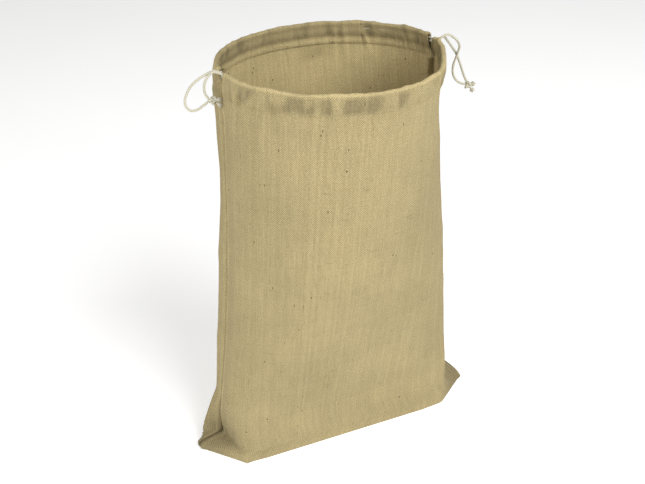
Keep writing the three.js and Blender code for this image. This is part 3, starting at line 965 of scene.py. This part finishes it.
def jute_material(name, shade=1.0, painted_hem_shade=0.0):
    """Loosely woven jute, a little hairy, with odd dark threads and bits of bark.

    A shade above 1 is painted light, standing in for the light that comes through the cloth to its
    inside.
    The turned-in cloth of the hem has no light coming through it, so it gets painted shade of its
    own, which makes it lighter where it is negative.
    """
    if name in bpy.data.materials:
        return bpy.data.materials[name]
    cloth = bpy.context.scene.sack_cloth
    material, w, shader = start_material(
        name, Roughness=0.93, Specular_IOR_Level=0.15, Sheen_Weight=0.03, Sheen_Roughness=0.6)
    flat = w.add("ShaderNodeUVMap", uv_map="Cloth").outputs[0]
    weave = w.group(plain_weave_group(), flat, Pitch=cloth.pitch, Looseness=0.55)
    # The broad patches are uneven tone in the jute, and in part painted shade and light for the soft
    # folds of the walls.
    clouds = w.group(mottling_group(), flat, Patches=0.46, Streaks=0.05, Grain=0.95)
    bits = w.group(flecks_group(), flat)
    place = w.add("ShaderNodeSeparateXYZ", {0: flat}).outputs
    aside = w.math("ABSOLUTE", w.minus(place[0], CLOTH_WIDTH / 2))
    # A shade above 1 makes the tone lighter: painted light for the light that comes through the
    # cloth.
    tone = w.times(clouds["Tone"], shade)
    # Painted shade on the turned-in hem, past the fold at the rim.
    tone = w.shade(tone, w.ramp(place[1], HEM_START - 0.003, HEM_START + 0.003), painted_hem_shade)
    tone = shade_corners(w, flat, place, aside, tone)
    tone = shade_slubs(w, place, tone)
    tone = shade_seams(w, aside, tone)
    # Painted shade in the low parts of the weave; the threads on top that run up the cloth are kept
    # lighter.
    weave_shade = w.plus(0.58, w.times(weave["Height"], 0.28))
    weave_shade = w.plus(weave_shade, w.times(weave["Upright"], 0.54))
    tone = shade_hem(w, place, aside, w.times(tone, weave_shade))
    threads = w.mix(weave["Tone"], opaque(cloth.dark), opaque(cloth.light))
    toned = w.tinted(threads, tone)
    # Painted shade in the openings of the weave, for the shadowed inside seen through them.
    hollow = w.mix(weave["Opening"], toned, opaque([0.3 * c for c in cloth.dark]))
    colour = w.mix(bits["Mask"], hollow, opaque(cloth.fleck))
    w.surface(shader, colour, weave["Height"], 1.0, 0.0006)
    return material


def cotton_material():
    """Soft white cotton cord, its fibres running with the twist."""
    name = "Cotton cord"
    if name in bpy.data.materials:
        return bpy.data.materials[name]
    cord = bpy.context.scene.sack_cord
    material, w, shader = start_material(
        name, Roughness=0.88, Specular_IOR_Level=0.2, Sheen_Weight=0.25, Sheen_Roughness=0.5)
    flat = w.add("ShaderNodeUVMap", uv_map="Cloth").outputs[0]
    place = w.add("ShaderNodeSeparateXYZ", {0: flat}).outputs
    strand = w.math("ABSOLUTE", w.math("COSINE", w.times(place[0], 3 * math.pi)))
    fibres = w.noise(w.vector(w.times(place[0], 34.0), w.times(place[1], 700.0)), 1.0, 3.0, 0.7)
    soil = w.noise(flat, 26.0, 3.0)
    # Painted shade in the grooves between the strands.
    groove_shade = w.ramp(strand, 0.08, 0.60)
    tone = w.plus(0.86, w.times(fibres, 0.18))
    body = w.mix(groove_shade, opaque(cord.dark), opaque(cord.light))
    toned = w.tinted(body, tone)
    colour = w.mix(w.times(w.ramp(soil, 0.55, 0.85), 0.35), toned,
                   opaque([0.72 * c for c in cord.light]))
    height = w.plus(strand, w.times(fibres, 0.5))
    w.surface(shader, colour, height, 0.6, 0.0004)
    return material


def thread_material():
    """Jute sewing twine."""
    name = "Sewing thread"
    if name in bpy.data.materials:
        return bpy.data.materials[name]
    stitch = bpy.context.scene.sack_stitch
    material, w, shader = start_material(name, Roughness=0.9, Specular_IOR_Level=0.2)
    place = w.add("ShaderNodeTexCoord").outputs["Object"]
    fibre = w.noise(place, 900.0, 2.0, 0.7)
    patch = w.noise(place, 60.0, 2.0)
    tone = w.plus(0.62, w.plus(w.times(fibre, 0.5), w.times(patch, 0.3)))
    w.surface(shader, w.tinted(opaque(stitch.colour), tone), fibre, 0.6, 0.0003)
    return material


# ---- cords --------------------------------------------------------------------------------------
LOOP_FULLNESS = 1.12            # out of the channel the soft cord swells a little
KNOT_SIZE = 0.0022              # a third of the radius of the knot's middle line
HAIRS = 34                      # brushed out of each cut end


def channel_run(home, drop):
    """A cord's way through the front channel, across the far slit and back through the other."""
    height = SACK_HEIGHT - drop
    depth = np.full(len(EVEN), 0.0012 + CHANNEL / 2)
    entry = CORD_ENTRY - slit_half_width(height)
    front = standing(sunk_row(height, FRONT, EVEN, depth, entry), height)
    back = standing(sunk_row(height, BACK, EVEN, depth, entry), height)
    if home == LEFT:
        return np.vstack([front, back[::-1]])
    return np.vstack([front[::-1], back])


def make_channel_cord(name, home, drop):
    cord = bpy.context.scene.sack_cord
    line = smooth_line(channel_run(home, drop)[::3], 0.0022)
    piece = rope(name + "_cotton", line, cord.diameter, cord.lay, sides=9)
    finish_piece(piece, cotton_material(), [name])
    return piece


def make_strand(name, route):
    """A free stretch of cord, from its slit to the knot."""
    cord = bpy.context.scene.sack_cord
    line = smooth_line(route, 0.0011)
    piece = rope(name + "_cotton", line, cord.diameter * LOOP_FULLNESS, cord.lay)
    finish_piece(piece, cotton_material(), [name], body=None)
    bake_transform(piece)
    float(distances(line)[-1])
    return piece


def make_knot(name, turn, body):
    """An overhand knot pulled tight."""
    cord = bpy.context.scene.sack_cord
    low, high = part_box(name)
    centre = np.array((low + high) / 2)
    t = np.linspace(0, 2 * math.pi, 121)
    flat = np.stack([np.sin(t) + 2 * np.sin(2 * t), np.cos(t) - 2 * np.cos(2 * t)], 1) * KNOT_SIZE
    rise = -0.95 * KNOT_SIZE * np.sin(3 * t)
    cosine, sine = math.cos(turn), math.sin(turn)
    across = flat[:, 0] * cosine - flat[:, 1] * sine
    up = flat[:, 0] * sine + flat[:, 1] * cosine
    line = centre + np.stack([across, rise, up * 0.94], 1)
    piece = rope(name + "_cotton", line, cord.diameter * 1.18, cord.lay * 0.9, closed=True)
    finish_piece(piece, cotton_material(), [name], body=body)
    return piece


def make_tail(name, route, body, seed, tuft):
    """The short cut end of a cord, with its fibres brushed apart."""
    cord = bpy.context.scene.sack_cord
    line = smooth_line(route, 0.0009)
    share = np.linspace(0, 1, len(line))
    taper = 1 + tuft * (smooth(share, 0.10, 0.60) - 0.55 * smooth(share, 0.80, 1.0))
    stub = rope(name + "_stub", line, cord.diameter, cord.lay * 1.6, taper=taper)
    random = np.random.default_rng(seed)
    tip, heading = line[-1], unit(line[-1] - line[-2])
    hairs = []
    for number in range(HAIRS):
        lean = random.uniform(-1, 1, 3)
        lean -= heading * (lean @ heading)
        lean /= np.linalg.norm(lean)
        out = cord.diameter * (0.35 + 0.35 * tuft) * random.uniform(0.2, 1)
        length = random.uniform(0.0022, 0.0042)
        root = tip + lean * out - heading * 0.0022
        end = root + heading * length + lean * length * random.uniform(0.1, 0.6)
        middle = (root + end) / 2 + lean * 0.0003
        hairs.append(rope(f"{name}_hair_{number}", np.array([root, middle, end]), 0.0009, 0.01,
                          sides=4, taper=np.array([1, 0.9, 0.45])))
    piece = join(name + "_cotton", [stub, *hairs])
    finish_piece(piece, cotton_material(), [name], body=body)
    return piece


LOOPS = {
    "left": (LEFT_FRONT_STRAND, LEFT_BACK_STRAND, LEFT_TAILS, -1, 0.4),
    "right": (RIGHT_FRONT_STRAND, RIGHT_BACK_STRAND, RIGHT_TAILS, 1, 1.3),
}
TUFTS = {"left": 0.65, "right": 1.45}    # how much wider than the cord its cut ends have opened


class SACK_OT_channel_cords(bpy.types.Operator):
    """Lay the two drawcords in the channel round the mouth"""
    bl_idname = "sack.channel_cords"
    bl_label = "Drawcords in the hem"

    def execute(self, context):
        make_channel_cord("left_drawcord_in_hem", LEFT, LEFT_CORD_DROP)
        make_channel_cord("right_drawcord_in_hem", RIGHT, RIGHT_CORD_DROP)
        return {"FINISHED"}


class SACK_OT_cord_loops(bpy.types.Operator):
    """Hang the loop of cord, its knot and its cut ends out of each slit"""
    bl_idname = "sack.cord_loops"
    bl_label = "Cord loops and knots"

    def execute(self, context):
        for end, (front, back, tails, way, turn) in LOOPS.items():
            body = f"{end}_pull"
            knot = make_knot(f"{end}_knot", turn, body)
            stubs = [make_tail(f"{end}_{part}_tail", route, body, seed, TUFTS[end])
                     for part, route, seed in (("front", tails[0], 1), ("back", tails[1], 2))]
            make_strand(f"{end}_front_strand", front)
            make_strand(f"{end}_back_strand", back)
        return {"FINISHED"}


class SACK_OT_panels(bpy.types.Operator):
    """Make the front and back panels, with the cloth that is turned in at the mouth"""
    bl_idname = "sack.panels"
    bl_label = "Jute panels"

    def execute(self, context):
        for name, side in (("front_panel", FRONT), ("back_panel", BACK)):
            piece = make_panel(name + "_jute", side)
            finish_piece(piece, None, [name])
        return {"FINISHED"}


# ---- raw edges inside the seams -----------------------------------------------------------------
def seam_point(end, height, into, across):
    """A place at a side seam: so far into the sack, and so far across towards the back."""
    pick = np.array([0.0 if end == LEFT else 1.0])
    ends = [panel_row(height, side, pick)[0] for side in (FRONT, BACK)]
    inward = seam_inward(height, end)
    sideways = np.array([-inward[1], inward[0]]) * -end
    plan = (ends[0] + ends[1]) / 2 + inward * into + sideways * across
    return standing(plan[None], height)[0]


def side_place(end):
    """How a side seam's raw edges stand: (along, into, across) to a point."""
    heights = np.linspace(RIB_FOOT, RIB_TOP, 150)
    samples = np.array([[seam_point(end, h, into, 0.0) for h in heights] for into in (0, SEAM_RIB)])
    aside = np.array([seam_point(end, h, 0.0, 0.001) - seam_point(end, h, 0.0, 0.0)
                      for h in heights])

    def place(along, into, across):
        height = RIB_FOOT + along
        root, far, side = [np.stack([np.interp(height, heights, table[:, k]) for k in range(3)], -1)
                           for table in (*samples, aside)]
        side /= 0.001
        reach = (RIB_FROM + into) / SEAM_RIB
        across = across + np.sign(across) * slit_half_width(height)
        return root + (far - root) * reach[..., None] + side * across[..., None]
    return place, RIB_TOP - RIB_FOOT


def base_place():
    def place(along, into, across):
        return np.stack([along - BASE_RIB_HALF_LENGTH, across, 0.0015 + into], -1)
    return place, 2 * BASE_RIB_HALF_LENGTH


def make_ply(name, place, length, ply, seed):
    """One raw edge of cloth with its threads working loose."""
    thickness = bpy.context.scene.sack_cloth.thickness
    along = np.linspace(0, length, round(length / 0.004))
    into = np.linspace(0, 1, 6)
    grid_along, grid_into = np.meshgrid(along, into, indexing="ij")
    ragged = 0.0011 * soft_noise(grid_along / 0.006, 0.0, seed)
    width = SEAM_RIB - 0.0020 + ragged
    curl = 0.0016 * (soft_noise(grid_along / 0.024, 0.0, seed + 1) * 0.7 + 0.6)
    across = ply * (thickness * 0.62 + curl * grid_into ** 3)
    surface = place(grid_along, grid_into * width, across)
    flat = np.stack([grid_into * width, grid_along], 2)
    piece = cloth_grid(name, surface, flat)
    apply_modifier(piece, "SOLIDIFY", thickness=thickness, offset=0)
    in_edit_mode(piece, lambda: bpy.ops.mesh.normals_make_consistent(inside=False))
    bpy.ops.object.shade_smooth_by_angle(angle=math.radians(50))
    return piece


def make_fringe(name, place, length, seed):
    """Loose thread ends along the two raw edges."""
    random = np.random.default_rng(seed)
    count = round(length / 0.0030)
    deselect_all()
    bpy.ops.mesh.primitive_cylinder_add(vertices=4, radius=1, depth=1, end_fill_type="TRIFAN")
    piece = added(name)
    apply_modifier(piece, "SUBSURF", subdivision_type="SIMPLE", levels=1, render_levels=1)
    start = points_of(piece)
    number = copies_in_a_row(piece, count)
    start = np.tile(start, (count, 1))
    start[:, 2] += 0.5
    ply = np.where(np.arange(count) % 2, 1, -1)[number]
    root = random.uniform(0, length - 0.001, count)[number]
    long = random.uniform(0.0025, 0.0065, count)
    long = (long * (1 + (random.random(count) > 0.93) * 1.2))[number]
    lean = random.uniform(-0.9, 0.9, count)[number]
    curl = random.uniform(-0.3, 0.9, count)[number]
    radius = 0.00042 * (1.1 - 0.6 * start[:, 2])
    rise = start[:, 2] * long
    along = np.clip(root + lean * rise + start[:, 0] * radius, 0, length)
    across = ply * (0.0011 + curl * rise * start[:, 2]) + start[:, 1] * radius
    set_points(piece, place(along, SEAM_RIB - 0.0032 + rise, across))
    set_uv(piece, np.stack([along, rise], 1))
    in_edit_mode(piece, lambda: bpy.ops.mesh.normals_make_consistent(inside=False))
    return piece


def make_raw_edges(name, node, place, length, seed):
    plies = [make_ply(f"{name}_{ply}", place, length, ply, seed + 3 * ply) for ply in (-1, 1)]
    fringe = make_fringe(name + "_fringe", place, length, seed)
    piece = join(name, [*plies, fringe])
    finish_piece(piece, jute_material("Raw jute", 1.05), [node])
    return piece


class SACK_OT_raw_edges(bpy.types.Operator):
    """Make the frayed raw edges that stand inside the side seams and the base seam"""
    bl_idname = "sack.raw_edges"
    bl_label = "Raw edges in the seams"

    def execute(self, context):
        for end, side in (("left", LEFT), ("right", RIGHT)):
            make_raw_edges(f"{end}_raw_edges", f"{end}_seam_rib", *side_place(side), 70 + side)
        make_raw_edges("base_raw_edges", "base_seam_rib", *base_place(), 80)
        return {"FINISHED"}


# ---- stitching ----------------------------------------------------------------------------------
def stitch_row(name, line, outward, seed):
    """A row of stitches along a line, each one bowed and sunk in the cloth at its ends."""
    stitch = bpy.context.scene.sack_stitch
    random = np.random.default_rng(seed)
    along = distances(line)
    count = int(along[-1] / stitch.length)
    deselect_all()
    bpy.ops.mesh.primitive_uv_sphere_add(segments=6, ring_count=6, radius=0.5,
                                         rotation=(0, math.pi / 2, 0))
    bpy.ops.object.transform_apply(rotation=True)
    piece = added(name)
    start = points_of(piece)
    number = copies_in_a_row(piece, count)
    start = np.tile(start, (count, 1))
    step = along[-1] / count
    jitter = random.normal(0, 0.05, count)[number] * step
    fat = random.uniform(0.9, 1.12, count)[number]
    slant = random.normal(0, 0.05, count)[number]
    reach = start[:, 0] * step * 0.84
    position = (number + 0.5) * step + jitter + reach
    centre = at_distances(line, position)
    out = unit(at_distances(outward, np.interp(position, along, distances(outward))))
    heading = unit(np.stack([np.interp(position, along, column) for column in
                             np.gradient(line, axis=0).T], 1))
    side = np.cross(heading, out)
    bow = -0.9 * stitch.diameter * (start[:, 0] * 2) ** 4
    lift = start[:, 2] * stitch.diameter * fat + bow
    aside = start[:, 1] * stitch.diameter * fat + slant * reach
    set_points(piece, centre + out * lift[:, None] + side * aside[:, None])
    in_edit_mode(piece, lambda: bpy.ops.mesh.normals_make_consistent(inside=False))
    bpy.ops.object.shade_smooth()
    return piece


def hem_lines(side):
    """The stitching line outside and inside a hem, and which way is out of the cloth."""
    thickness = bpy.context.scene.sack_cloth.thickness
    across = np.linspace(0.006, 0.994, 400)
    height = SACK_HEIGHT - STITCH_DROP
    middle = cloth_row(side, across, height, thickness / 2)
    inner = cloth_row(side, across, height, 1.5 * thickness + GAP)
    outward = unit(middle - inner)
    return (middle + outward * thickness * 0.62, outward), (inner - outward * thickness * 0.62,
                                                            -outward)


class SACK_OT_stitching(bpy.types.Operator):
    """Sew the hem, the side seams and the base seam"""
    bl_idname = "sack.stitching"
    bl_label = "Stitching"

    def execute(self, context):
        for end, side in (("front", FRONT), ("back", BACK)):
            outside, inside = hem_lines(side)
            rows = [stitch_row(f"{end}_hem_row_outside", *outside, 5),
                    stitch_row(f"{end}_hem_row_inside", *inside, 6)]
            piece = join(f"{end}_hem_stitches", rows)
            finish_piece(piece, thread_material(), [f"{end}_hem_stitching"])
        seams = (("left", side_place(LEFT)), ("right", side_place(RIGHT)), ("base", base_place()))
        for end, (place, length) in seams:
            rows = []
            along = np.linspace(0.004, length - 0.004, 300)
            for ply in (-1, 1):
                face = np.full(300, ply * 0.0015)
                line = place(along, np.full(300, SEAM_RIB * 0.42), face)
                beyond = place(along, np.full(300, SEAM_RIB * 0.42), face + ply * 0.001)
                rows.append(stitch_row(f"{end}_seam_row_{ply}", line, beyond - line, 7 + ply))
            piece = join(f"{end}_seam_stitches", rows)
            finish_piece(piece, thread_material(), [f"{end}_seam_stitching"])
        return {"FINISHED"}


# ---- stage --------------------------------------------------------------------------------------
def soft_light(name, place, target, size, power):
    deselect_all()
    bpy.ops.object.light_add(type="AREA", location=place)
    light = added(name)
    light.data.shape = "DISK"
    light.data.size = size
    light.data.energy = power
    aim(light, target)
    return light


def aim(thing, target):
    away = np.array(thing.location) - np.array(target)
    thing.rotation_euler = (math.atan2(math.hypot(away[0], away[1]), away[2]), 0,
                            math.atan2(away[0], -away[1]))


class SACK_OT_stage(bpy.types.Operator):
    """Set the floor, the lights and the camera"""
    bl_idname = "sack.stage"
    bl_label = "Floor, lights and camera"

    def execute(self, context):
        stage = context.scene.sack_stage
        deselect_all()
        bpy.ops.object.camera_add(location=CAMERA_PLACE)
        camera = added("Camera")
        aim(camera, np.array(CAMERA_PLACE) + CAMERA_AIM)
        camera.data.lens = CAMERA_LENS
        camera.data.sensor_width = 36
        context.scene.camera = camera
        deselect_all()
        bpy.ops.mesh.primitive_plane_add(size=14, location=(0, 0, -0.0004))
        floor = added("floor")
        material, w, shader = start_material("Floor", Roughness=0.95, Specular_IOR_Level=0.1,
                                             Emission_Color=(1, 1, 1, 1), Emission_Strength=0.35)
        place = w.add("ShaderNodeTexCoord").outputs["Object"]
        grain = w.plus(0.985, w.times(w.noise(place, 3.0), 0.03))
        colour = w.tinted(opaque(stage.floor), grain)
        w.tree.links.new(colour, shader.inputs["Base Color"])
        floor.data.materials.append(material)
        middle = (0, 0, 0.4)
        soft_light("Key light", KEY_PLACE, middle, KEY_WIDTH, stage.key)
        soft_light("Fill light", FILL_PLACE, middle, FILL_WIDTH, stage.fill)
        world = bpy.data.worlds.new("Room")
        context.scene.world = world
        world.use_nodes = True
        back = world.node_tree.nodes["Background"]
        back.inputs[0].default_value = (1.0, 0.995, 0.985, 1)
        back.inputs[1].default_value = stage.sky
        context.scene.view_settings.view_transform = "Standard"
        return {"FINISHED"}


class SACK_PT_sidebar(bpy.types.Panel):
    """The sack's settings and its operators, in the order they run"""
    bl_label = "Sack Race Bag"
    bl_idname = "SACK_PT_sidebar"
    bl_space_type = "VIEW_3D"
    bl_region_type = "UI"
    bl_category = "Sack"

    def draw(self, context):
        for group in SETTINGS:
            box = self.layout.box()
            settings = getattr(context.scene, group)
            for name in settings.__annotations__:
                box.prop(settings, name)
        for operator in OPERATORS:
            self.layout.operator(operator.bl_idname)


SETTINGS = {
    "sack_cloth": SackClothSettings,
    "sack_cord": SackCordSettings,
    "sack_stitch": SackStitchSettings,
    "sack_stage": SackStageSettings,
}
OPERATORS = (SACK_OT_stage, SACK_OT_channel_cords, SACK_OT_cord_loops, SACK_OT_panels,
             SACK_OT_raw_edges, SACK_OT_stitching)
CLASSES = (*SETTINGS.values(), *OPERATORS, SACK_PT_sidebar)


def register():
    for item in CLASSES:
        bpy.utils.register_class(item)
    for name, group in SETTINGS.items():
        setattr(bpy.types.Scene, name, bpy.props.PointerProperty(type=group))


def unregister():
    for name in SETTINGS:
        delattr(bpy.types.Scene, name)
    for item in reversed(CLASSES):
        bpy.utils.unregister_class(item)


def main():
    register()
    bpy.ops.sack.stage()
    bpy.ops.sack.channel_cords()
    bpy.ops.sack.cord_loops()
    bpy.ops.sack.panels()
    bpy.ops.sack.raw_edges()
    bpy.ops.sack.stitching()


if __name__ == "__main__":
    main()
